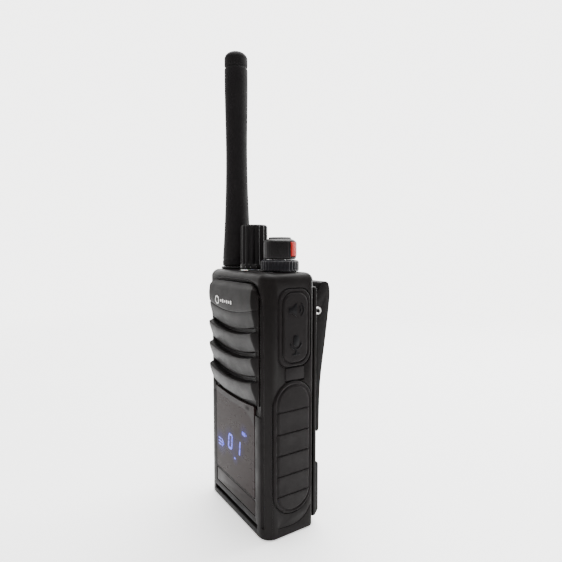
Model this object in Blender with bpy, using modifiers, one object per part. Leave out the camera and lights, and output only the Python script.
"""Handheld two-way radio, as separate pieces at rest.

Metres, +Z up. The front faces -Y, +X is to the right of someone facing it, and the radio stands
on its base at z = 0. Depths are given from the flat front face towards the back.
"""

import math

import bmesh
import bpy
from mathutils import Vector

MM = 0.001
GAP = 0.3 * MM
RUN_GAP = 0.15 * MM
OVERCUT = 1.0 * MM

# Casing
HALF_WIDTH = 30.0 * MM
DECK_Z = 123.6 * MM
CASING_DEPTH = 27.5 * MM
FRONT_CORNER = 6.2 * MM
REAR_CORNER = 2.6 * MM
SHOULDER = 3.6 * MM
BASE_EDGE = 0.8 * MM
FRONT_WALL = 2.4 * MM
SIDE_WALL = 2.8 * MM
BAY_WALL = 2.0 * MM
DECK_WALL = 2.4 * MM
FLOOR_WALL = 2.8 * MM
BAY_DEPTH = 19.3 * MM
BAY_TOP_DROP = 6.1 * MM
FRONT_POCKET = 1.2 * MM
SIDE_POCKET = 0.8 * MM
KEY_POCKET = 1.9 * MM
PAD_PROUD = 1.0 * MM

# Grille: a tall mark bar over three louvre bars
BAR_PROUD = 3.0 * MM
BAR_LOW = 0.7 * MM
GRILLE_HALF = 24.5 * MM
GRILLE_DROP = 5.2 * MM
MARK_BAR = 21.4 * MM
LOUVRE = 10.4 * MM
LOUVRES = 3
SLOT = 1.0 * MM
SLOT_HALF = 19.5 * MM
SLOT_STEPS = 4
SMILE = 2.2 * MM
BAR_END = 1.2 * MM
GRILLE_STEPS = 7
GRILLE_BACK = 0.9 * MM
GRILLE_CORNER = 7.0 * MM

# Display and lower trim
WINDOW_HALF = 20.5 * MM
WINDOW_FOOT = 17.2 * MM
WINDOW_CUT = 4.6 * MM
WINDOW_CUT_HEIGHT = 8.0 * MM
WINDOW_THICK = 0.9 * MM
WINDOW_MARGIN = 1.2 * MM
MODULE_INSET = 6.0 * MM
MODULE_THICK = 2.6 * MM
TRIM_FOOT = 8.9 * MM
TRIM_GAP = 0.6 * MM

# Sound
SPEAKER_RADIUS = 17.5 * MM
SPEAKER_RISE = 19.5 * MM
SPEAKER_RIM = 1.6 * MM
MAGNET_RADIUS = 9.0 * MM
MAGNET_DEPTH = 4.4 * MM
FELT_THICK = 0.5 * MM
MIC_RADIUS = 2.8 * MM
MIC_X = 13.6 * MM
MIC_DROP = 2.6 * MM
MIC_THICK = 2.4 * MM

# Boards and chassis
BOARD_DEPTH = 12.8 * MM
BOARD_THICK = 1.6 * MM
BOARD_CLEAR = 0.5 * MM
BOARD_FOOT = 5.0 * MM
BOARD_HEAD_DROP = 17.0 * MM
CHASSIS_DEPTH = 17.4 * MM
CHASSIS_THICK = 1.6 * MM
CHASSIS_HEAD_DROP = 20.0 * MM
GASKET_WIDTH = 1.0 * MM
GASKET_THICK = 1.2 * MM
BOSS_RADIUS = 2.4 * MM
BOSS_INSET = 6.0 * MM
BOSS_LOW_Z = 8.0 * MM
BOSS_DROP = 7.2 * MM
SCREW_RADIUS = 1.0 * MM
SCREW_HEAD_RADIUS = 1.9 * MM
SCREW_HEAD = 0.7 * MM
SCREW_LENGTH = 10.0 * MM
CONTACT_HALF = 6.0 * MM
CONTACT_Z = 16.0 * MM
CONTACT_TALL = 8.0 * MM

# Right side: jack, cover, strap, pad
COVER_DROP = 7.2 * MM
COVER_TALL = 36.1 * MM
COVER_FRONT = 7.2 * MM
COVER_BACK = 25.0 * MM
COVER_CORNER = 6.0 * MM
STRAP_TALL = 5.4 * MM
STRAP_HALF = 5.2 * MM
PAD_FRONT = 4.6 * MM
PAD_BACK = 26.0 * MM
PAD_FOOT = 10.6 * MM
PAD_SOFT = 0.6 * MM
JACK_FRONT = 8.4 * MM
JACK_BACK = 16.6 * MM
JACK_DEEP = 5.6 * MM
JACK_MARGIN = 7.0 * MM
SOCKET_LARGE = 1.8 * MM
SOCKET_SMALL = 1.3 * MM
SOCKET_SPREAD = 5.5 * MM

# Left side: talk button, two keys, pad
UPPER_KEY_DROP = 8.6 * MM
KEY_TALL = 9.6 * MM
TALK_TALL = 25.0 * MM
KEY_SPACE = 1.8 * MM
KEY_FRONT = 6.4 * MM
KEY_BACK = 22.0 * MM
KEY_CORNER = 3.0 * MM
KEY_CAP = 1.4 * MM
KEY_SOFT = 0.5 * MM
KEY_TRAVEL = 0.9 * MM
STEM_FRONT = 6.8 * MM
STEM_BACK = 11.4 * MM
STEM_INSET = 2.6 * MM
STEM_REACH = 3.4 * MM
KEY_BOARD_FRONT = 4.6 * MM
KEY_BOARD_THICK = 1.0 * MM
SWITCH_TALL = 3.0 * MM
SWITCH_THICK = 0.9 * MM

# Antenna
ANTENNA_INSET = 9.7 * MM
ANTENNA_DEPTH = 13.0 * MM
ANTENNA_TALL = 104.6 * MM
CAP_TALL = 8.2 * MM
WHIP_FOOT_RADIUS = 7.9 * MM
WHIP_WAIST_RADIUS = 5.65 * MM
WHIP_HEAD_RADIUS = 6.1 * MM
WHIP_WAIST_Z = 60.0 * MM
WHIP_STEPS = 8
CAP_DOME = 3.7 * MM
WHIP_BORE = 2.4 * MM
WHIP_END_WALL = 3.0 * MM
RING_RADIUS = 8.6 * MM
RING_TALL = 1.0 * MM
STUD_RADIUS = 2.0 * MM
STUD_BELOW = 10.0 * MM
STUD_ABOVE = 11.0 * MM
ELEMENT_RADIUS = 1.4 * MM
SOCKET_RADIUS = 4.6 * MM

# Knobs
CHANNEL_X = -3.5 * MM
CHANNEL_DEPTH = 14.0 * MM
CHANNEL_RADIUS = 7.0 * MM
CHANNEL_FLUTE = 0.45 * MM
FLUTES = 14
FLUTE_POINTS = 4
CHANNEL_TALL = 22.4 * MM
CHANNEL_RIM = 1.4 * MM
NUT_RADIUS = 5.0 * MM
NUT_TALL = 1.8 * MM
SHAFT_RADIUS = 3.0 * MM
KNOB_ROOF = 3.0 * MM
ENCODER_HALF = 5.0 * MM
ENCODER_DEEP_HALF = 4.6 * MM
ENCODER_TALL = 11.0 * MM
VOLUME_INSET = 12.5 * MM
VOLUME_DEPTH = 16.0 * MM
VOLUME_RADIUS = 7.9 * MM
VOLUME_TALL = 8.9 * MM
VOLUME_CROWN_RADIUS = 5.2 * MM
VOLUME_CROWN = 1.5 * MM
COLLAR_RADIUS = 9.1 * MM
COLLAR_TALL = 5.3 * MM
COLLAR_TEETH = 24
COLLAR_NOTCH = 0.35 * MM
SWITCH_DEEP_HALF = 3.0 * MM
POINTER_ANGLE = 31.0
POINTER_SPREAD = 24.0
POINTER_MARGIN = 2.5
POINTER_DEEP = 2.0 * MM
POINTER_TALL = 6.6 * MM
LAMP_X = 2.5 * MM
LAMP_DEPTH = 4.9 * MM
LAMP_HALF = 2.6 * MM
LAMP_DEEP_HALF = 0.9 * MM
LAMP_PROUD = 0.5 * MM

# Battery
BATTERY_SIDE_GAP = 0.4 * MM
BATTERY_END_GAP = 0.6 * MM
BATTERY_BACK = 29.4 * MM
BLOCK_BACK = 31.5 * MM
BLOCK_HEAD = 31.3 * MM
BLOCK_SLOPE = 1.6 * MM
BATTERY_EDGE = 1.4 * MM
FLANGE_INSET = 0.8 * MM
BELT_PAD_HALF = 20.0 * MM
BELT_PAD_RISE = 4.7 * MM
BELT_PAD_DROP = 3.3 * MM
BELT_PAD_PROUD = 0.3 * MM
LID_THICK = 1.4 * MM
SHELL_WALL = 1.8 * MM
CELL_RISE = 12.6 * MM
CELL_HEAD_ROOM = 8.6 * MM
PACK_BOARD_THICK = 1.2 * MM
PACK_BOARD_TALL = 6.0 * MM
HINGE_DEPTH = 27.0 * MM
HINGE_DROP = 6.4 * MM
LATCH_HALF = 8.6 * MM
LATCH_FRONT = 21.0 * MM
LATCH_PROUD = 0.8 * MM
LATCH_TRAVEL = 1.5 * MM
LATCH_FLOOR = 0.7 * MM
LATCH_SPRING_RADIUS = 0.75 * MM
LATCH_SPRING_WIRE = 0.2 * MM
LATCH_SPRING_FRONT = 15.2 * MM
LATCH_SPRING_TURNS = 5

# Belt clip
PIN_DROP = 20.3 * MM
PIN_DEPTH = 37.8 * MM
PIN_RADIUS = 1.5 * MM
PIN_END = 0.5 * MM
CLIP_HALF = 19.0 * MM
CHEEK = 3.6 * MM
CLIP_SKIN = 2.0 * MM
HOLLOW_DROP = 10.0 * MM
BELT_FACE = 37.1 * MM
CLIP_OUT = 45.7 * MM
BRACKET_HALF = 14.5 * MM
BRACKET_PLATE = 2.0 * MM
BRACKET_RISE = 9.0 * MM
LUG_RADIUS = 2.6 * MM
LUG_OUT = 12.0 * MM
LUG_THICK = 3.0 * MM
LUG_SWEEP = 60.0
SPRING_RADIUS = 2.3 * MM
SPRING_WIRE = 0.4 * MM
SPRING_HALF = 7.6 * MM
SPRING_TURNS = 9
BRACKET_SCREW_X = 5.0 * MM

# The clip's outer face, as depth and height above its pin, from the thumb end to the tip
CLIP_OUTLINE = (
    (39.6, 14.2), (43.1, 14.6), (45.0, 13.0), (45.7, 8.6), (45.3, 3.0), (44.2, -6.0),
    (42.5, -18.0), (41.0, -28.0), (39.8, -38.0), (39.3, -49.0), (39.1, -62.7),
)
# Its belt face, from the tip back up past the pin
CLIP_INNER_LINE = ((37.1, -62.7), (37.1, -12.0), (35.0, -6.0), (34.4, 0.0), (35.0, 5.0), (38.2, 10.0))

# How far a grille bar stands out at a height up it, both as shares
MARK_BAR_LEAN = ((0.0, 0.1), (0.12, 0.45), (0.55, 0.8), (0.6, 1.0), (0.88, 0.6), (1.0, 0.1))
LOUVRE_LEAN = ((0.0, 0.1), (0.12, 0.45), (0.55, 0.8), (0.88, 1.0), (1.0, 0.1))

ROUND_STEPS = 32
PIN_STEPS = 24
HEAD_STEPS = 20
HOLE_STEPS = 18
SHANK_STEPS = 12
ARC_STEPS = 5
SMOOTH_ANGLE = 32.0
TOP, FRONT, SIDE = (0, 1, 2), (0, 2, 1), (1, 2, 0)


def at(depth):
    """The Y of a depth behind the front face, with the whole radio centred on Y = 0."""
    return depth - (CLIP_OUT - BAR_PROUD) / 2


# Places that several pieces share
ROOM_HALF = HALF_WIDTH - SIDE_WALL
ROOM_TOP = DECK_Z - DECK_WALL
BAY_HALF = HALF_WIDTH - BAY_WALL
BAY_TOP = DECK_Z - BAY_TOP_DROP
GRILLE_TOP = DECK_Z - GRILLE_DROP
GRILLE_FOOT = GRILLE_TOP - MARK_BAR - LOUVRES * (LOUVRE + SLOT)
WINDOW_HEAD = GRILLE_FOOT - WINDOW_MARGIN
SPEAKER_Z = GRILLE_FOOT + SPEAKER_RISE
COVER_HEAD = DECK_Z - COVER_DROP
COVER_FOOT = COVER_HEAD - COVER_TALL
STRAP_FOOT = COVER_FOOT - 2 * GAP - STRAP_TALL
PAD_HEAD = STRAP_FOOT - 2 * GAP
UPPER_KEY_HEAD = DECK_Z - UPPER_KEY_DROP
TALK_HEAD = UPPER_KEY_HEAD - KEY_TALL - KEY_SPACE
LOWER_KEY_HEAD = TALK_HEAD - TALK_TALL - KEY_SPACE
LOWER_KEY_FOOT = LOWER_KEY_HEAD - KEY_TALL
LEFT_PAD_HEAD = LOWER_KEY_FOOT - KEY_SPACE
BOARD_HALF = ROOM_HALF - GAP - JACK_DEEP - BOARD_CLEAR
BOSS_HIGH_Z = LOWER_KEY_FOOT - BOSS_DROP
ANTENNA_X = ANTENNA_INSET - HALF_WIDTH
RING_FOOT = DECK_Z + GAP
WHIP_FOOT = RING_FOOT + RING_TALL + GAP
KNOB_FOOT = DECK_Z + 2 * GAP
VOLUME_X = HALF_WIDTH - VOLUME_INSET
VOLUME_FOOT = DECK_Z + GAP + COLLAR_TALL + GAP
SWITCH_HEAD = ROOM_TOP - GAP
BATTERY_HALF = BAY_HALF - BATTERY_SIDE_GAP
BATTERY_FOOT = FLOOR_WALL + BATTERY_END_GAP
BATTERY_HEAD = BAY_TOP - BATTERY_END_GAP - GAP
LID_BACK = BAY_DEPTH + GAP + LID_THICK
PIN_Z = DECK_Z - PIN_DROP

parts = None
cutters = None


def clear_scene():
    for thing in list(bpy.data.objects):
        bpy.data.objects.remove(thing, do_unlink=True)


def collection(name):
    made = bpy.data.collections.new(name)
    bpy.context.scene.collection.children.link(made)
    return made


def material(name, colour, roughness, metallic=0.0):
    made = bpy.data.materials.new(name)
    made.use_nodes = True
    shader = made.node_tree.nodes["Principled BSDF"]
    shader.inputs["Base Color"].default_value = (*colour, 1.0)
    shader.inputs["Roughness"].default_value = roughness
    shader.inputs["Metallic"].default_value = metallic
    return made


def pivot(name, x, y, z):
    """An empty on a joint's axis, which the joint's pieces are parented to."""
    empty = bpy.data.objects.new(name, None)
    empty.location = (x, y, z)
    parts.objects.link(empty)
    return empty


def arc(u, v, radius, start, end, steps=ARC_STEPS):
    """Points on an arc, angles in degrees."""
    angles = [math.radians(start + (end - start) * i / steps) for i in range(steps + 1)]
    return [(u + radius * math.cos(a), v + radius * math.sin(a)) for a in angles]


def rounded(u0, u1, v0, v1, radius, steps=ARC_STEPS):
    """A rectangle's outline with round corners."""
    radius = min(radius, (u1 - u0) / 2 - RUN_GAP / 2, (v1 - v0) / 2 - RUN_GAP / 2)
    corners = ((u1, v0, -90), (u1, v1, 0), (u0, v1, 90), (u0, v0, 180))
    points = []
    for u, v, start in corners:
        cu = u - radius if u == u1 else u + radius
        cv = v - radius if v == v1 else v + radius
        points += arc(cu, cv, radius, start, start + 90, steps)
    return points


def prism(outline, levels, plane):
    """A closed outline raised along the plane's normal through (level, scale) pairs."""
    across, up, along = plane
    bm = bmesh.new()
    count = len(outline)
    middle_u = sum(p[0] for p in outline) / count
    middle_v = sum(p[1] for p in outline) / count
    corners = []
    for u, v in outline:
        place = Vector((0, 0, 0))
        place[across] = middle_u + (u - middle_u) * levels[0][1]
        place[up] = middle_v + (v - middle_v) * levels[0][1]
        place[along] = levels[0][0]
        corners.append(bm.verts.new(place))
    face = bm.faces.new(corners)
    for (low, old_scale), (high, new_scale) in zip(levels, levels[1:]):
        grown = bmesh.ops.extrude_face_region(bm, geom=[face])
        if low != levels[0][0]:
            bmesh.ops.delete(bm, geom=[face], context="FACES_ONLY")
        moved = [item for item in grown["geom"] if isinstance(item, bmesh.types.BMVert)]
        face = next(item for item in grown["geom"] if isinstance(item, bmesh.types.BMFace))
        for vert in moved:
            vert.co[across] = middle_u + (vert.co[across] - middle_u) * new_scale / old_scale
            vert.co[up] = middle_v + (vert.co[up] - middle_v) * new_scale / old_scale
            vert.co[along] += high - low
    bmesh.ops.recalc_face_normals(bm, faces=bm.faces)
    return bm


def slab(outline, low, high, plane):
    return prism(outline, ((low, 1.0), (high, 1.0)), plane)


def box(x0, x1, y0, y1, z0, z1):
    bm = bmesh.new()
    bmesh.ops.create_cube(bm, size=1.0)
    bmesh.ops.scale(bm, verts=bm.verts, vec=(x1 - x0, y1 - y0, z1 - z0))
    bmesh.ops.translate(bm, verts=bm.verts, vec=((x0 + x1) / 2, (y0 + y1) / 2, (z0 + z1) / 2))
    return bm


def rod(centre, radius, length, axis, steps=ROUND_STEPS):
    """A cylinder that starts at a point and runs along an axis."""
    bm = bmesh.new()
    bmesh.ops.create_cone(
        bm, cap_ends=True, segments=steps, radius1=radius, radius2=radius, depth=length
    )
    turn = Vector((0, 0, 1)).rotation_difference(Vector(axis)).to_matrix()
    bmesh.ops.rotate(bm, verts=bm.verts, matrix=turn)
    bmesh.ops.translate(bm, verts=bm.verts, vec=Vector(centre) + Vector(axis) * length / 2)
    return bm


def soften(bm, axis, level, width, segments=2):
    """Bevels the edges that lie wholly at one level."""
    near = 0.01 * MM
    edges = [e for e in bm.edges if all(abs(v.co[axis] - level) < near for v in e.verts)]
    bmesh.ops.bevel(
        bm, geom=edges, offset=width, segments=segments, profile=0.5, affect="EDGES", clamp_overlap=True
    )
    return bm


def node(name, bm, finish, on=None):
    """A named piece. Its origin is its pivot's, or the radio's own."""
    if on:
        bmesh.ops.translate(bm, verts=bm.verts, vec=-on.location)
    mesh = bpy.data.meshes.new(name)
    bm.to_mesh(mesh)
    bm.free()
    mesh.materials.append(finish)
    mesh.shade_smooth()
    mesh.set_sharp_from_angle(angle=math.radians(SMOOTH_ANGLE))
    piece = bpy.data.objects.new(name, mesh)
    piece.parent = on
    parts.objects.link(piece)
    return piece


def turned(name, profile, x, y, finish, on=None, steps=ROUND_STEPS):
    """A turned piece on a vertical axis. The profile of (radius, z) runs down its outer side."""
    start = on.location if on else Vector((0, 0, 0))
    ring = profile[0][0] > 0
    mesh = bpy.data.meshes.new(name)
    edges = [(i, i + 1) for i in range(len(profile) - 1)]
    if ring:
        edges.append((len(profile) - 1, 0))
    mesh.from_pydata([(r, 0, z - start.z) for r, z in profile], edges, [])
    mesh.materials.append(finish)
    piece = bpy.data.objects.new(name, mesh)
    piece.parent = on
    piece.location = (x - start.x, y - start.y, 0)
    screw = piece.modifiers.new("turn", "SCREW")
    screw.axis = "Z"
    screw.steps = steps
    screw.render_steps = steps
    screw.use_merge_vertices = True
    screw.merge_threshold = 0.00001
    screw.use_smooth_shade = True
    parts.objects.link(piece)
    return piece


def tool(name, bm):
    mesh = bpy.data.meshes.new(name)
    bm.to_mesh(mesh)
    bm.free()
    made = bpy.data.objects.new(name, mesh)
    made.hide_render = True
    made.display_type = "WIRE"
    cutters.objects.link(made)
    return made


def boolean(piece, other, operation):
    change = piece.modifiers.new(operation.lower() + "_" + other.name, "BOOLEAN")
    change.operation = operation
    change.solver = "EXACT"
    change.object = other


def cut(piece, name, bm):
    boolean(piece, tool(name, bm), "DIFFERENCE")


def join(piece, name, bm):
    boolean(piece, tool(name, bm), "UNION")


def coil(name, points, wire, finish, on=None):
    """A wire along a list of points, as a closed tube."""
    curve = bpy.data.curves.new(name, "CURVE")
    curve.dimensions = "3D"
    curve.bevel_depth = wire
    curve.bevel_resolution = 1
    curve.use_fill_caps = True
    spline = curve.splines.new("POLY")
    spline.points.add(len(points) - 1)
    start = on.location if on else Vector((0, 0, 0))
    for point, place in zip(spline.points, points):
        point.co = (*(Vector(place) - start), 1.0)
    curve.materials.append(finish)
    piece = bpy.data.objects.new(name, curve)
    piece.parent = on
    parts.objects.link(piece)


def helix(centre, axis, radius, length, turns, per_turn=10):
    """Points of a spring along X or Y from a centre point at its start."""
    points = []
    for i in range(turns * per_turn + 1):
        angle = math.tau * i / per_turn
        along = length * i / (turns * per_turn)
        across, up = radius * math.cos(angle), radius * math.sin(angle)
        offset = (along, across, up) if axis == "X" else (across, along, up)
        points.append(Vector(centre) + Vector(offset))
    return points


def casing_outline():
    """The casing in plan: wide round front corners and small rear ones."""
    front, rear = FRONT_CORNER, REAR_CORNER
    right = arc(HALF_WIDTH - front, at(front), front, -90, 0, ARC_STEPS + 1)
    right += arc(HALF_WIDTH - rear, at(CASING_DEPTH - rear), rear, 0, 90, ARC_STEPS - 2)
    return right + [(-x, y) for x, y in reversed(right)]


def grille_outline(grow):
    """The grille's outline on the front: square foot corners and a wide arched head."""
    half = GRILLE_HALF + grow
    head = GRILLE_TOP + grow
    foot = GRILLE_FOOT - grow
    right = [(half, foot)] + arc(half - GRILLE_CORNER, head - GRILLE_CORNER, GRILLE_CORNER, 0, 90)
    return right + [(-x, z) for x, z in reversed(right)]


def window_outline(grow):
    """The display window: a rectangle whose upper right corner is cut back."""
    half = WINDOW_HALF + grow
    head = WINDOW_HEAD + grow
    foot = WINDOW_FOOT - grow
    return [
        (-half, foot), (half, foot), (half, head - WINDOW_CUT_HEIGHT),
        (half - WINDOW_CUT, head), (-half, head),
    ]


def key_spans():
    """Each left key's name with its foot and head."""
    return (
        ("upper_side_key", UPPER_KEY_HEAD - KEY_TALL, UPPER_KEY_HEAD),
        ("talk_button", TALK_HEAD - TALK_TALL, TALK_HEAD),
        ("lower_side_key", LOWER_KEY_FOOT, LOWER_KEY_HEAD),
    )


def screw_places():
    across = HALF_WIDTH - BOSS_INSET
    return [(x, z) for z in (BOSS_LOW_Z, BOSS_HIGH_Z) for x in (-across, across)]


def sockets():
    """The two accessory sockets' heights and radii."""
    middle = (COVER_HEAD + COVER_FOOT) / 2
    return ((middle + SOCKET_SPREAD, SOCKET_LARGE), (middle - SOCKET_SPREAD, SOCKET_SMALL))


def make_housing(finish):
    shell = slab(casing_outline(), 0.0, DECK_Z, TOP)
    soften(shell, 2, DECK_Z, SHOULDER, 3)
    soften(shell, 2, 0.0, BASE_EDGE, 2)
    housing = node("front_housing", shell, finish)
    room = box(
        -ROOM_HALF, ROOM_HALF, at(FRONT_WALL), at(BAY_DEPTH + OVERCUT), FLOOR_WALL, ROOM_TOP
    )
    cut(housing, "electronics_room", room)
    bay = box(
        -BAY_HALF, BAY_HALF, at(BAY_DEPTH), at(CASING_DEPTH + OVERCUT), FLOOR_WALL, BAY_TOP
    )
    cut(housing, "battery_bay", bay)
    for x, z in screw_places():
        reach = CHASSIS_DEPTH - GAP - FRONT_WALL + OVERCUT
        post = rod((x, at(FRONT_WALL - OVERCUT), z), BOSS_RADIUS, reach, (0, 1, 0), HOLE_STEPS)
        join(housing, "screw_post", post)
        bore_start = CHASSIS_DEPTH - SCREW_LENGTH
        bore = rod(
            (x, at(bore_start), z), SCREW_RADIUS + GAP, SCREW_LENGTH + OVERCUT, (0, 1, 0), SHANK_STEPS
        )
        cut(housing, "screw_bore", bore)
    cut_front(housing)
    cut_sides(housing)
    cut_deck(housing)
    latch_well = box(
        -LATCH_HALF - GAP, LATCH_HALF + GAP, at(LATCH_SPRING_FRONT - GAP),
        at(CASING_DEPTH + OVERCUT), LATCH_FLOOR, FLOOR_WALL + OVERCUT,
    )
    cut(housing, "latch_well", latch_well)
    return housing


def cut_front(housing):
    pocket = slab(grille_outline(GAP), at(-OVERCUT), at(FRONT_POCKET), FRONT)
    cut(housing, "grille_pocket", pocket)
    opening = rod(
        (0, at(-OVERCUT), SPEAKER_Z), SPEAKER_RADIUS - SPEAKER_RIM, FRONT_WALL + 2 * OVERCUT, (0, 1, 0)
    )
    cut(housing, "speaker_opening", opening)
    pocket = slab(window_outline(GAP), at(-OVERCUT), at(FRONT_POCKET), FRONT)
    cut(housing, "window_pocket", pocket)
    inset = MODULE_INSET - WINDOW_MARGIN
    view = box(
        -WINDOW_HALF + inset, WINDOW_HALF - inset, at(0), at(FRONT_WALL + OVERCUT),
        WINDOW_FOOT + inset, WINDOW_HEAD - WINDOW_CUT_HEIGHT,
    )
    cut(housing, "display_opening", view)
    trim = box(
        -WINDOW_HALF - GAP, WINDOW_HALF + GAP, at(-OVERCUT), at(FRONT_POCKET),
        TRIM_FOOT - GAP, WINDOW_FOOT - TRIM_GAP - GAP,
    )
    cut(housing, "trim_pocket", trim)


def cut_sides(housing):
    outer = HALF_WIDTH + OVERCUT
    floor = HALF_WIDTH - SIDE_POCKET
    cover = rounded(
        at(COVER_FRONT - GAP), at(COVER_BACK + GAP), COVER_FOOT - GAP, COVER_HEAD + GAP, COVER_CORNER
    )
    cut(housing, "cover_pocket", slab(cover, floor, outer, SIDE))
    middle = (COVER_FRONT + COVER_BACK) / 2
    strap = box(
        floor, outer, at(middle - STRAP_HALF - GAP), at(middle + STRAP_HALF + GAP),
        PAD_HEAD - GAP, COVER_FOOT + GAP,
    )
    cut(housing, "strap_pocket", strap)
    pad = pad_outline(PAD_HEAD, GAP)
    cut(housing, "right_pad_pocket", slab(pad, floor, outer, SIDE))
    pad = pad_outline(LEFT_PAD_HEAD, GAP)
    cut(housing, "left_pad_pocket", slab(pad, -outer, -floor, SIDE))
    jack_y = at((JACK_FRONT + JACK_BACK) / 2)
    for z, radius in sockets():
        hole = rod(
            (ROOM_HALF - OVERCUT, jack_y, z), radius + GAP, SIDE_WALL + 2 * OVERCUT, (1, 0, 0), HEAD_STEPS
        )
        cut(housing, "socket_hole", hole)
    for name, foot, head in key_spans():
        cap = rounded(at(KEY_FRONT - GAP), at(KEY_BACK + GAP), foot - GAP, head + GAP, KEY_CORNER)
        cut(housing, name + "_well", slab(cap, -outer, KEY_POCKET - HALF_WIDTH, SIDE))
        slit = box(
            -HALF_WIDTH, OVERCUT - ROOM_HALF, at(STEM_FRONT - GAP), at(STEM_BACK + GAP),
            foot + STEM_INSET - GAP, head - STEM_INSET + GAP,
        )
        cut(housing, name + "_slit", slit)


def cut_deck(housing):
    deep = DECK_WALL + 2 * OVERCUT
    foot = ROOM_TOP - OVERCUT
    holes = (
        ("antenna_hole", ANTENNA_X, ANTENNA_DEPTH, SOCKET_RADIUS + GAP),
        ("channel_hole", CHANNEL_X, CHANNEL_DEPTH, SHAFT_RADIUS + GAP),
        ("volume_hole", VOLUME_X, VOLUME_DEPTH, SHAFT_RADIUS + GAP),
    )
    for name, x, depth, radius in holes:
        cut(housing, name, rod((x, at(depth), foot), radius, deep, (0, 0, 1)))
    lamp = box(
        LAMP_X - LAMP_HALF - GAP, LAMP_X + LAMP_HALF + GAP, at(LAMP_DEPTH - LAMP_DEEP_HALF - GAP),
        at(LAMP_DEPTH + LAMP_DEEP_HALF + GAP), foot, foot + deep,
    )
    cut(housing, "lamp_hole", lamp)


def pad_outline(head, grow):
    """A grip pad's outline: a tall shape with fully round ends."""
    half = (PAD_BACK - PAD_FRONT) / 2
    return rounded(
        at(PAD_FRONT - grow), at(PAD_BACK + grow), PAD_FOOT - grow, head + grow, half, ARC_STEPS + 2
    )


def bar_edges():
    """The foot and head of each grille bar, lowest first."""
    edges = []
    foot = GRILLE_FOOT
    for _ in range(LOUVRES):
        edges.append((foot, foot + LOUVRE))
        foot += LOUVRE + SLOT
    edges.append((foot, GRILLE_TOP))
    return edges


def make_grille(finish):
    """Louvre bars as a lofted grid: each bar leans out towards its head."""
    inner = GRILLE_HALF - BAR_END
    columns = [inner * step / (GRILLE_STEPS - 1) for step in range(1 - GRILLE_STEPS, GRILLE_STEPS)]
    columns = [-GRILLE_HALF] + columns + [GRILLE_HALF]
    rows = []
    for index, (foot, head) in enumerate(bar_edges()):
        lean = MARK_BAR_LEAN if index == LOUVRES else LOUVRE_LEAN
        rows += [(foot + (head - foot) * up, share) for up, share in lean]
    bm = bmesh.new()
    grid = []
    for z, share in rows:
        line = []
        for x in columns:
            end = min(1.0, (GRILLE_HALF - abs(x)) / BAR_END)
            proud = BAR_LOW * end + (BAR_PROUD - BAR_LOW) * share * end
            line.append(bm.verts.new((x, at(-proud), z)))
        grid.append(line)
    for low, high in zip(grid, grid[1:]):
        for i in range(len(columns) - 1):
            bm.faces.new((low[i], low[i + 1], high[i + 1], high[i]))
    rim = [e for e in bm.edges if e.is_boundary]
    grown = bmesh.ops.extrude_edge_only(bm, edges=rim)
    for item in grown["geom"]:
        if isinstance(item, bmesh.types.BMVert):
            item.co.y = at(GRILLE_BACK)
    rim = [e for e in bm.edges if e.is_boundary]
    bmesh.ops.contextual_create(bm, geom=rim)
    bmesh.ops.recalc_face_normals(bm, faces=bm.faces)
    grille = node("speaker_grille", bm, finish)
    keep = slab(grille_outline(0.0), at(-BAR_PROUD - OVERCUT), at(GRILLE_BACK + OVERCUT), FRONT)
    boolean(grille, tool("grille_edge", keep), "INTERSECT")
    for foot, head in bar_edges()[:LOUVRES]:
        shares = [i / SLOT_STEPS for i in range(-SLOT_STEPS, SLOT_STEPS + 1)]
        line = [(SLOT_HALF * share, head + SMILE * (share ** 2 - 1 / 2)) for share in shares]
        upper = [(x, z + SLOT) for x, z in reversed(line)]
        slot = slab(line + upper, at(-BAR_PROUD - OVERCUT), at(GRILLE_BACK + OVERCUT), FRONT)
        cut(grille, "sound_slot", slot)


def make_display(glass, module, trim):
    pane = slab(window_outline(0.0), at(0.0), at(WINDOW_THICK), FRONT)
    node("display_window", pane, glass)
    half = WINDOW_HALF - MODULE_INSET / 2
    screen = box(
        -half, half, at(FRONT_WALL + GAP), at(FRONT_WALL + GAP + MODULE_THICK),
        WINDOW_FOOT + MODULE_INSET / 2, WINDOW_HEAD - WINDOW_CUT_HEIGHT,
    )
    node("display_module", screen, module)
    strip = box(
        -WINDOW_HALF, WINDOW_HALF, at(0.0), at(WINDOW_THICK), TRIM_FOOT, WINDOW_FOOT - TRIM_GAP - 2 * GAP
    )
    node("lower_trim", strip, trim)


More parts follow.
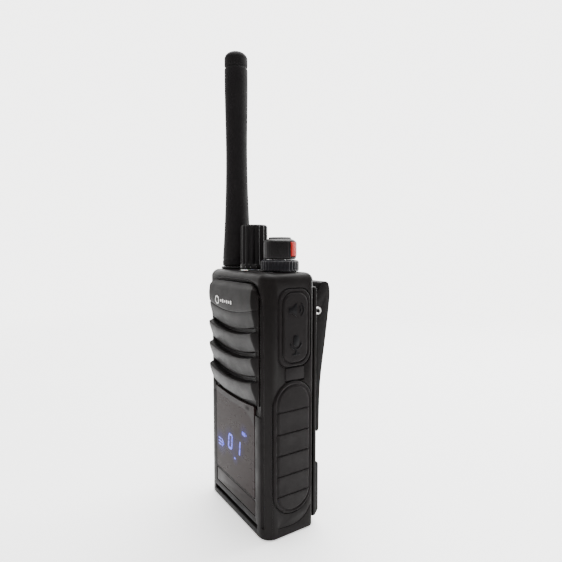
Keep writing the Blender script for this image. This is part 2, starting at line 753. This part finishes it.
def make_sound(felt, frame, dark, metal):
    back = FRONT_POCKET + GAP
    disc = rod(
        (0, at(back), SPEAKER_Z), SPEAKER_RADIUS - SPEAKER_RIM - GAP, FELT_THICK, (0, 1, 0)
    )
    node("speaker_felt", disc, felt)
    start = FRONT_WALL + GAP
    basket = rod((0, at(start), SPEAKER_Z), SPEAKER_RADIUS, SPEAKER_RIM, (0, 1, 0))
    basket = node("speaker_basket", basket, frame)
    well = rod(
        (0, at(start - OVERCUT), SPEAKER_Z), SPEAKER_RADIUS - 2 * SPEAKER_RIM,
        SPEAKER_RIM + 2 * OVERCUT, (0, 1, 0),
    )
    cut(basket, "basket_well", well)
    cone = bmesh.new()
    bmesh.ops.create_cone(
        cone, cap_ends=True, segments=ROUND_STEPS, radius1=SPEAKER_RADIUS - 2 * SPEAKER_RIM - GAP,
        radius2=MAGNET_RADIUS / 2, depth=SPEAKER_RIM,
    )
    bmesh.ops.rotate(
        cone, verts=cone.verts, matrix=Vector((0, 0, 1)).rotation_difference(Vector((0, 1, 0))).to_matrix()
    )
    bmesh.ops.translate(cone, verts=cone.verts, vec=(0, at(start + SPEAKER_RIM / 2), SPEAKER_Z))
    node("speaker_cone", cone, dark)
    magnet = rod(
        (0, at(start + SPEAKER_RIM + GAP), SPEAKER_Z), MAGNET_RADIUS, MAGNET_DEPTH, (0, 1, 0)
    )
    node("speaker_magnet", magnet, metal)
    capsule = rod(
        (MIC_X, at(start), WINDOW_HEAD - MIC_DROP), MIC_RADIUS, MIC_THICK, (0, 1, 0), HEAD_STEPS
    )
    node("microphone", capsule, metal)


def make_boards(board, chassis_metal, rubber, contact):
    main = box(
        -BOARD_HALF, BOARD_HALF, at(BOARD_DEPTH), at(BOARD_DEPTH + BOARD_THICK),
        BOARD_FOOT, DECK_Z - BOARD_HEAD_DROP,
    )
    node("main_board", main, board)
    outer = ROOM_HALF - GAP
    foot = FLOOR_WALL + GAP
    head = DECK_Z - CHASSIS_HEAD_DROP
    rim = GASKET_WIDTH
    seal_front = CHASSIS_DEPTH + (CHASSIS_THICK - GASKET_THICK) / 2
    seal = box(-outer, outer, at(seal_front), at(seal_front + GASKET_THICK), foot, head)
    seal = node("chassis_gasket", seal, rubber)
    hollow = box(
        rim - outer, outer - rim, at(CHASSIS_DEPTH - OVERCUT), at(CHASSIS_DEPTH + CHASSIS_THICK + OVERCUT),
        foot + rim, head - rim,
    )
    cut(seal, "gasket_opening", hollow)
    plate = box(
        rim + GAP - outer, outer - rim - GAP, at(CHASSIS_DEPTH), at(CHASSIS_DEPTH + CHASSIS_THICK),
        foot + rim + GAP, head - rim - GAP,
    )
    chassis = node("chassis", plate, chassis_metal)
    opening = box(
        -CONTACT_HALF - GAP, CONTACT_HALF + GAP, at(CHASSIS_DEPTH - OVERCUT),
        at(CHASSIS_DEPTH + CHASSIS_THICK + OVERCUT), CONTACT_Z - CONTACT_TALL / 2 - GAP,
        CONTACT_Z + CONTACT_TALL / 2 + GAP,
    )
    cut(chassis, "contact_opening", opening)
    sink_depth = CHASSIS_DEPTH + CHASSIS_THICK - SCREW_HEAD - GAP
    for index, (x, z) in enumerate(screw_places()):
        hole = rod(
            (x, at(CHASSIS_DEPTH - OVERCUT), z), SCREW_RADIUS + GAP, CHASSIS_THICK + 2 * OVERCUT,
            (0, 1, 0), HOLE_STEPS,
        )
        cut(chassis, "screw_hole", hole)
        sink = rod(
            (x, at(sink_depth - GAP), z), SCREW_HEAD_RADIUS + GAP, CHASSIS_THICK, (0, 1, 0), HEAD_STEPS
        )
        cut(chassis, "screw_sink", sink)
        start = CHASSIS_DEPTH - SCREW_LENGTH + 2 * GAP
        shank = rod((x, at(start), z), SCREW_RADIUS, sink_depth - start + GAP, (0, 1, 0), SHANK_STEPS)
        screw = node("chassis_screw_" + str(index + 1), shank, contact["steel"])
        head_disc = rod((x, at(sink_depth), z), SCREW_HEAD_RADIUS, SCREW_HEAD, (0, 1, 0), HEAD_STEPS)
        join(screw, "screw_head", head_disc)
    block = box(
        -CONTACT_HALF, CONTACT_HALF, at(BOARD_DEPTH + BOARD_THICK + GAP), at(BAY_DEPTH - GAP),
        CONTACT_Z - CONTACT_TALL / 2, CONTACT_Z + CONTACT_TALL / 2,
    )
    node("contact_block", block, contact["gold"])


def make_right_side(rubber, jack_finish):
    jack = box(
        ROOM_HALF - GAP - JACK_DEEP, ROOM_HALF - GAP, at(JACK_FRONT), at(JACK_BACK),
        COVER_FOOT + JACK_MARGIN, COVER_HEAD - JACK_MARGIN,
    )
    jack = node("accessory_jack", jack, jack_finish)
    for z, radius in sockets():
        bore = rod(
            (ROOM_HALF - JACK_DEEP + OVERCUT, at((JACK_FRONT + JACK_BACK) / 2), z), radius,
            JACK_DEEP, (1, 0, 0), HEAD_STEPS,
        )
        cut(jack, "socket_bore", bore)
    inner = HALF_WIDTH - SIDE_POCKET + GAP
    outer = HALF_WIDTH + PAD_PROUD
    hinge = pivot("cover_hinge", outer, at((COVER_FRONT + COVER_BACK) / 2), COVER_FOOT)
    flap = rounded(at(COVER_FRONT), at(COVER_BACK), COVER_FOOT, COVER_HEAD, COVER_CORNER)
    flap = soften(slab(flap, inner, outer, SIDE), 0, outer, PAD_SOFT)
    node("accessory_cover", flap, rubber, hinge)
    middle = (COVER_FRONT + COVER_BACK) / 2
    strap = box(
        inner, HALF_WIDTH + PAD_PROUD / 2, at(middle - STRAP_HALF), at(middle + STRAP_HALF),
        STRAP_FOOT, STRAP_FOOT + STRAP_TALL,
    )
    node("cover_strap", strap, rubber)
    pad = slab(pad_outline(PAD_HEAD, 0.0), inner, outer, SIDE)
    node("right_grip", soften(pad, 0, outer, PAD_SOFT), rubber)


def make_left_side(rubber, key_finish, board, switch_finish):
    inner = HALF_WIDTH - SIDE_POCKET + GAP
    outer = HALF_WIDTH + PAD_PROUD
    pad = slab(pad_outline(LEFT_PAD_HEAD, 0.0), -outer, -inner, SIDE)
    node("left_grip", soften(pad, 0, -outer, PAD_SOFT), rubber)
    stem_end = STEM_REACH - HALF_WIDTH
    for name, foot, head in key_spans():
        slide = pivot(name + "_slide", -outer, at((STEM_FRONT + STEM_BACK) / 2), (foot + head) / 2)
        cap = rounded(at(KEY_FRONT), at(KEY_BACK), foot, head, KEY_CORNER)
        cap = soften(slab(cap, -outer, KEY_CAP - outer, SIDE), 0, -outer, KEY_SOFT)
        key = node(name, cap, key_finish, slide)
        stem = box(
            KEY_CAP / 2 - outer, stem_end, at(STEM_FRONT), at(STEM_BACK),
            foot + STEM_INSET, head - STEM_INSET,
        )
        join(key, name + "_stem", stem)
        switch = box(
            stem_end + KEY_TRAVEL + GAP, stem_end + KEY_TRAVEL + GAP + SWITCH_THICK,
            at(STEM_FRONT), at(STEM_BACK), (foot + head) / 2 - SWITCH_TALL / 2,
            (foot + head) / 2 + SWITCH_TALL / 2,
        )
        node(name + "_switch", switch, switch_finish)
    board_x = stem_end + KEY_TRAVEL + 2 * GAP + SWITCH_THICK
    strip = box(
        board_x, board_x + KEY_BOARD_THICK, at(KEY_BOARD_FRONT), at(BOARD_DEPTH - GAP),
        LOWER_KEY_FOOT, UPPER_KEY_HEAD - STEM_INSET,
    )
    node("key_board", strip, board)


def make_antenna(rubber, metal, socket_metal, ring_finish):
    y = at(ANTENNA_DEPTH)
    ring = (
        (STUD_RADIUS + 2 * GAP, RING_FOOT + RING_TALL), (RING_RADIUS, RING_FOOT + RING_TALL),
        (RING_RADIUS, RING_FOOT), (SOCKET_RADIUS + 2 * GAP, RING_FOOT),
    )
    turned("antenna_gasket", ring, ANTENNA_X, y, ring_finish)
    foot = DECK_Z - STUD_BELOW - GAP
    socket = (
        (SOCKET_RADIUS, DECK_Z - GAP), (SOCKET_RADIUS, foot),
        (STUD_RADIUS + GAP, foot), (STUD_RADIUS + GAP, DECK_Z - GAP),
    )
    turned("antenna_socket", socket, ANTENNA_X, y, socket_metal)
    lift = pivot("antenna_lift", ANTENNA_X, y, DECK_Z)
    stud_head = WHIP_FOOT + STUD_ABOVE
    stud = ((0, stud_head), (STUD_RADIUS, stud_head), (STUD_RADIUS, DECK_Z - STUD_BELOW))
    turned("antenna_stud", stud + ((0, DECK_Z - STUD_BELOW),), ANTENNA_X, y, metal, lift)
    turn = pivot("antenna_turn", ANTENNA_X, y, DECK_Z)
    top = DECK_Z + ANTENNA_TALL + GAP
    waist = WHIP_FOOT + WHIP_WAIST_Z
    bore_top = top - WHIP_END_WALL
    outer = [(0, top), (WHIP_HEAD_RADIUS, top), (WHIP_HEAD_RADIUS, top - 2 * CAP_TALL)]
    for step in range(1, WHIP_STEPS):
        share = step / WHIP_STEPS
        radius = WHIP_WAIST_RADIUS + (WHIP_FOOT_RADIUS - WHIP_WAIST_RADIUS) * share ** 2
        outer.append((radius, waist - (waist - WHIP_FOOT) * share))
    whip = outer[:3] + [(WHIP_WAIST_RADIUS, waist)] + outer[3:] + [(WHIP_FOOT_RADIUS, WHIP_FOOT)]
    whip += [(WHIP_BORE, WHIP_FOOT), (WHIP_BORE, bore_top), (0, bore_top)]
    turned("antenna_whip", whip, ANTENNA_X, y, rubber, turn)
    element = ((0, bore_top - GAP), (ELEMENT_RADIUS, bore_top - GAP), (ELEMENT_RADIUS, stud_head + GAP))
    turned("antenna_element", element + ((0, stud_head + GAP),), ANTENNA_X, y, metal, turn, SHANK_STEPS)
    cap_foot = top + GAP
    dome = [(0, cap_foot + CAP_TALL)]
    for step in range(1, ARC_STEPS + 1):
        angle = math.radians(90 * step / ARC_STEPS)
        fall = CAP_DOME * (1 - math.cos(angle))
        dome.append((WHIP_HEAD_RADIUS * math.sin(angle), cap_foot + CAP_TALL - fall))
    dome += [(WHIP_HEAD_RADIUS, cap_foot), (0, cap_foot)]
    turned("antenna_cap", dome, ANTENNA_X, y, rubber, turn)


def fluted(x, y, radius, count, depth):
    """A round outline with shallow grooves round it."""
    points = []
    total = count * FLUTE_POINTS
    for i in range(total):
        angle = math.tau * i / total
        reach = radius - (depth if i % FLUTE_POINTS == 0 else 0.0)
        points.append((x + reach * math.cos(angle), y + reach * math.sin(angle)))
    return points


def make_channel_selector(knob_finish, metal, dark):
    x, y = CHANNEL_X, at(CHANNEL_DEPTH)
    turn = pivot("channel_turn", x, y, DECK_Z)
    head = KNOB_FOOT + CHANNEL_TALL
    rim = 1.0 - CHANNEL_RIM / CHANNEL_RADIUS
    levels = ((KNOB_FOOT, 1.0), (head - CHANNEL_RIM, 1.0), (head, rim))
    knob = prism(fluted(x, y, CHANNEL_RADIUS, FLUTES, CHANNEL_FLUTE), levels, TOP)
    knob = node("channel_knob", knob, knob_finish, turn)
    bore_deep = head - KNOB_ROOF - KNOB_FOOT + OVERCUT
    bore = rod((x, y, KNOB_FOOT - OVERCUT), SHAFT_RADIUS + GAP, bore_deep, (0, 0, 1))
    cut(knob, "channel_bore", bore)
    well = rod((x, y, KNOB_FOOT - OVERCUT), NUT_RADIUS + GAP, NUT_TALL + GAP + OVERCUT, (0, 0, 1))
    cut(knob, "channel_nut_well", well)
    shaft_foot = SWITCH_HEAD + GAP
    shaft = rod(
        (x, y, shaft_foot), SHAFT_RADIUS, head - KNOB_ROOF - GAP - shaft_foot, (0, 0, 1), PIN_STEPS
    )
    node("channel_shaft", shaft, metal, turn)
    nut_foot = DECK_Z + GAP
    nut = (
        (NUT_RADIUS, nut_foot + NUT_TALL), (NUT_RADIUS, nut_foot),
        (SHAFT_RADIUS + GAP, nut_foot), (SHAFT_RADIUS + GAP, nut_foot + NUT_TALL),
    )
    turned("channel_nut", nut, x, y, metal, None, PIN_STEPS)
    body = box(
        x - ENCODER_HALF, x + ENCODER_HALF, y - ENCODER_DEEP_HALF, y + ENCODER_DEEP_HALF,
        SWITCH_HEAD - ENCODER_TALL, SWITCH_HEAD,
    )
    node("channel_encoder", body, dark)


def sector(x, y, inner, outer, spread):
    """An outline between two radii, round the pointer's direction."""
    low, high = POINTER_ANGLE - spread, POINTER_ANGLE + spread
    return arc(x, y, outer, low, high) + arc(x, y, inner, high, low)


def make_volume_switch(knob_finish, red, collar_finish, metal, dark):
    x, y = VOLUME_X, at(VOLUME_DEPTH)
    turn = pivot("volume_turn", x, y, DECK_Z)
    foot = VOLUME_FOOT
    shoulder = foot + VOLUME_TALL
    head = shoulder + VOLUME_CROWN
    profile = (
        (0, head), (VOLUME_CROWN_RADIUS, head), (VOLUME_CROWN_RADIUS + GAP, shoulder + GAP),
        (VOLUME_RADIUS - 3 * GAP, shoulder), (VOLUME_RADIUS, shoulder - 3 * GAP), (VOLUME_RADIUS, foot),
        (SHAFT_RADIUS + GAP, foot), (SHAFT_RADIUS + GAP, head - KNOB_ROOF), (0, head - KNOB_ROOF),
    )
    knob = turned("volume_knob", profile, x, y, knob_finish, turn)
    pointer_foot = shoulder - 3 * GAP - POINTER_TALL
    inner = VOLUME_RADIUS - POINTER_DEEP
    notch = sector(x, y, inner, VOLUME_RADIUS + OVERCUT, POINTER_SPREAD + POINTER_MARGIN)
    cut(knob, "pointer_notch", slab(notch, pointer_foot - GAP, shoulder + OVERCUT, TOP))
    pointer = slab(
        sector(x, y, inner + GAP, VOLUME_RADIUS, POINTER_SPREAD), pointer_foot, shoulder - GAP, TOP
    )
    node("volume_pointer", pointer, red, turn)
    shaft_foot = SWITCH_HEAD + GAP
    shaft = rod(
        (x, y, shaft_foot), SHAFT_RADIUS, head - KNOB_ROOF - GAP - shaft_foot, (0, 0, 1), PIN_STEPS
    )
    node("volume_shaft", shaft, metal, turn)
    collar_foot = DECK_Z + GAP
    collar = fluted(x, y, COLLAR_RADIUS, COLLAR_TEETH, COLLAR_NOTCH)
    collar = node("volume_collar", slab(collar, collar_foot, collar_foot + COLLAR_TALL, TOP), collar_finish)
    bore = rod((x, y, DECK_Z), SHAFT_RADIUS + 2 * GAP, COLLAR_TALL + OVERCUT, (0, 0, 1))
    cut(collar, "collar_bore", bore)
    body = box(
        x - ENCODER_HALF, x + ENCODER_HALF, y - SWITCH_DEEP_HALF, y + SWITCH_DEEP_HALF,
        SWITCH_HEAD - ENCODER_TALL, SWITCH_HEAD,
    )
    node("volume_switch", body, dark)


def make_status_lamp(finish):
    lens = rounded(
        LAMP_X - LAMP_HALF, LAMP_X + LAMP_HALF, at(LAMP_DEPTH - LAMP_DEEP_HALF),
        at(LAMP_DEPTH + LAMP_DEEP_HALF), LAMP_DEEP_HALF / 2, 2,
    )
    node("status_lens", slab(lens, ROOM_TOP, DECK_Z + LAMP_PROUD, TOP), finish)


def make_battery(shell_finish, lid_finish, cell_finish, board, gold):
    hinge = pivot("battery_hinge", 0, at(HINGE_DEPTH), DECK_Z - HINGE_DROP)
    half, foot, head = BATTERY_HALF, BATTERY_FOOT, BATTERY_HEAD
    front = LID_BACK + GAP
    tub = box(-half, half, at(front), at(CASING_DEPTH + 2 * GAP), foot, head)
    tub = node("battery_shell", tub, shell_finish, hinge)
    wide = HALF_WIDTH - FLANGE_INSET
    flange_front, back = CASING_DEPTH + GAP, BATTERY_BACK
    flange = box(-wide, wide, at(flange_front), at(back), foot, head)
    join(tub, "battery_flange", soften(flange, 1, at(back), BATTERY_EDGE))
    slope = BLOCK_SLOPE
    block = [
        (at(flange_front), foot), (at(BLOCK_BACK - slope), foot), (at(BLOCK_BACK), foot + slope),
        (at(BLOCK_BACK), BLOCK_HEAD - slope), (at(back), BLOCK_HEAD), (at(flange_front), BLOCK_HEAD),
    ]
    join(tub, "battery_block", slab(block, -wide, wide, SIDE))
    belt_pad = box(
        -BELT_PAD_HALF, BELT_PAD_HALF, at(back - GAP), at(back + BELT_PAD_PROUD),
        BLOCK_HEAD + BELT_PAD_RISE, PIN_Z - BRACKET_RISE - BELT_PAD_DROP,
    )
    join(tub, "belt_pad", belt_pad)
    hollow = box(
        SHELL_WALL - half, half - SHELL_WALL, at(front - OVERCUT), at(BATTERY_BACK - SHELL_WALL),
        foot + SHELL_WALL, head - SHELL_WALL,
    )
    cut(tub, "cell_room", hollow)
    lid = box(-half, half, at(BAY_DEPTH + GAP), at(LID_BACK), foot, head)
    lid = node("battery_lid", lid, lid_finish, hinge)
    pad_half = CONTACT_HALF - GAP
    tall = CONTACT_TALL / 2 - GAP
    pocket = box(
        -CONTACT_HALF, CONTACT_HALF, at(BAY_DEPTH - OVERCUT), at(LID_BACK - 2 * GAP),
        CONTACT_Z - CONTACT_TALL / 2, CONTACT_Z + CONTACT_TALL / 2,
    )
    cut(lid, "contact_pocket", pocket)
    contacts = box(
        -pad_half, pad_half, at(BAY_DEPTH + GAP), at(LID_BACK - 3 * GAP), CONTACT_Z - tall, CONTACT_Z + tall
    )
    node("battery_contacts", contacts, gold, hinge)
    room = half - SHELL_WALL - GAP
    for name, x0, x1 in (("battery_cell_left", -room, -GAP), ("battery_cell_right", GAP, room)):
        cell_back = BATTERY_BACK - SHELL_WALL - GAP
        cell = box(x0, x1, at(front + GAP), at(cell_back), foot + CELL_RISE, head - CELL_HEAD_ROOM)
        node(name, cell, cell_finish, hinge)
    circuit = box(
        -room, room, at(front + GAP), at(front + GAP + PACK_BOARD_THICK),
        foot + SHELL_WALL + GAP, foot + SHELL_WALL + GAP + PACK_BOARD_TALL,
    )
    node("battery_board", circuit, board, hinge)
    return hinge


def make_latch(finish, steel):
    slide = pivot("latch_slide", 0, at(CASING_DEPTH), LATCH_FLOOR)
    foot, head = LATCH_FLOOR + GAP, FLOOR_WALL - GAP
    bar = box(-LATCH_HALF, LATCH_HALF, at(LATCH_FRONT), at(CASING_DEPTH + LATCH_PROUD), foot, head)
    node("battery_latch", bar, finish, slide)
    length = LATCH_FRONT - LATCH_TRAVEL - GAP - LATCH_SPRING_WIRE - LATCH_SPRING_FRONT - LATCH_SPRING_WIRE
    start = (0, at(LATCH_SPRING_FRONT + LATCH_SPRING_WIRE), (foot + head) / 2)
    turns = helix(start, "Y", LATCH_SPRING_RADIUS - LATCH_SPRING_WIRE, length, LATCH_SPRING_TURNS)
    coil("latch_spring", turns, LATCH_SPRING_WIRE, steel)


def clip_outline():
    """The clip's side view: outer face down to the tip, then back up its belt face."""
    return [(at(depth * MM), PIN_Z + rise * MM) for depth, rise in CLIP_OUTLINE + CLIP_INNER_LINE]


def clip_hollow():
    """The room between the clip's cheeks, a skin's thickness inside its outer face."""
    head = [(depth * MM - CLIP_SKIN, rise * MM) for depth, rise in CLIP_OUTLINE[2:6]]
    head[0] = (head[0][0], head[0][1] - CLIP_SKIN)
    line = [(at(depth), PIN_Z + rise) for depth, rise in head]
    open_side = at(CLIP_INNER_LINE[3][0] * MM - 2 * OVERCUT)
    foot = PIN_Z - HOLLOW_DROP
    return line + [(at(BELT_FACE), foot), (open_side, foot), (open_side, line[0][1])]


def make_clip(finish, bracket_finish, steel, battery_hinge):
    y, z = at(PIN_DEPTH), PIN_Z
    hinge = pivot("clip_hinge", 0, y, z)
    clip = node("belt_clip", slab(clip_outline(), -CLIP_HALF, CLIP_HALF, SIDE), finish, hinge)
    cheek = CLIP_HALF - CHEEK
    cut(clip, "clip_hollow", slab(clip_hollow(), -cheek, cheek, SIDE))
    over = CLIP_HALF + OVERCUT
    bore = rod((-over, y, z), PIN_RADIUS + RUN_GAP, 2 * over, (1, 0, 0), PIN_STEPS)
    cut(clip, "pin_bore", bore)
    reach = CLIP_HALF + PIN_END
    pin = rod((-reach, y, z), PIN_RADIUS, 2 * reach, (1, 0, 0), PIN_STEPS)
    node("clip_pin", pin, steel, battery_hinge)
    back = BATTERY_BACK + GAP
    plate = box(
        -BRACKET_HALF, BRACKET_HALF, at(back), at(back + BRACKET_PLATE), z - BRACKET_RISE, z + BRACKET_RISE
    )
    bracket = node("clip_bracket", plate, bracket_finish, battery_hinge)
    for side in (-1, 1):
        low, high = sorted((side * LUG_OUT, side * (LUG_OUT - LUG_THICK)))
        lug = [(at(back + BRACKET_PLATE / 2), z - 2 * LUG_RADIUS)]
        lug += arc(y, z, LUG_RADIUS, -LUG_SWEEP, LUG_SWEEP)
        lug += [(at(back + BRACKET_PLATE / 2), z + 2 * LUG_RADIUS)]
        join(bracket, "bracket_lug", slab(lug, low, high, SIDE))
    bore = rod((-CLIP_HALF, y, z), PIN_RADIUS + RUN_GAP, 2 * CLIP_HALF, (1, 0, 0), PIN_STEPS)
    cut(bracket, "lug_bore", bore)
    turns = helix((-SPRING_HALF, y, z), "X", SPRING_RADIUS, 2 * SPRING_HALF, SPRING_TURNS)
    coil("clip_spring", turns, SPRING_WIRE, steel, battery_hinge)
    for name, x in (("bracket_screw_left", -BRACKET_SCREW_X), ("bracket_screw_right", BRACKET_SCREW_X)):
        screw_z = z - BRACKET_RISE + SCREW_HEAD_RADIUS + 2 * GAP
        hole_start, hole_deep = at(back - OVERCUT), BRACKET_PLATE + 2 * OVERCUT
        hole = rod((x, hole_start, screw_z), SCREW_RADIUS + GAP, hole_deep, (0, 1, 0), HOLE_STEPS)
        cut(bracket, name + "_hole", hole)
        screw = rod((x, at(back), screw_z), SCREW_RADIUS, BRACKET_PLATE + 2 * GAP, (0, 1, 0), SHANK_STEPS)
        screw = node(name, screw, steel, battery_hinge)
        head_start = (x, at(back + BRACKET_PLATE + GAP), screw_z)
        head = rod(head_start, SCREW_HEAD_RADIUS, SCREW_HEAD, (0, 1, 0), HEAD_STEPS)
        join(screw, name + "_head", head)


def main():
    global parts, cutters
    clear_scene()
    parts = collection("portable_radio")
    cutters = collection("cutters")
    casing = material("casing_plastic", (0.014, 0.013, 0.013), 0.42)
    battery_plastic = material("battery_plastic", (0.013, 0.012, 0.012), 0.5)
    knob_plastic = material("knob_plastic", (0.012, 0.012, 0.012), 0.45)
    rubber = material("side_rubber", (0.018, 0.016, 0.016), 0.62)
    whip_rubber = material("antenna_rubber", (0.011, 0.010, 0.011), 0.6)
    key_rubber = material("key_rubber", (0.016, 0.015, 0.015), 0.6)
    glass = material("smoked_window", (0.010, 0.008, 0.008), 0.12)
    lens = material("lamp_lens", (0.6, 0.62, 0.62), 0.2)
    red = material("pointer_red", (0.75, 0.03, 0.02), 0.35)
    steel = material("steel", (0.62, 0.62, 0.63), 0.28, 1.0)
    gold = material("gold_contact", (0.8, 0.6, 0.25), 0.3, 1.0)
    cast = material("cast_alloy", (0.45, 0.46, 0.47), 0.5, 1.0)
    board = material("circuit_board", (0.02, 0.09, 0.04), 0.45)
    dark = material("component_black", (0.02, 0.02, 0.02), 0.55)
    felt = material("speaker_felt", (0.01, 0.01, 0.01), 0.95)
    cell = material("cell_wrap", (0.05, 0.09, 0.2), 0.4)

    make_housing(casing)
    make_grille(casing)
    make_display(glass, dark, casing)
    make_sound(felt, steel, dark, steel)
    make_boards(board, cast, rubber, {"steel": steel, "gold": gold})
    make_right_side(rubber, dark)
    make_left_side(rubber, key_rubber, board, dark)
    make_antenna(whip_rubber, steel, gold, rubber)
    make_channel_selector(knob_plastic, steel, dark)
    make_volume_switch(knob_plastic, red, knob_plastic, steel, dark)
    make_status_lamp(lens)
    battery_hinge = make_battery(battery_plastic, battery_plastic, cell, board, gold)
    make_latch(battery_plastic, steel)
    make_clip(battery_plastic, battery_plastic, steel, battery_hinge)


main()
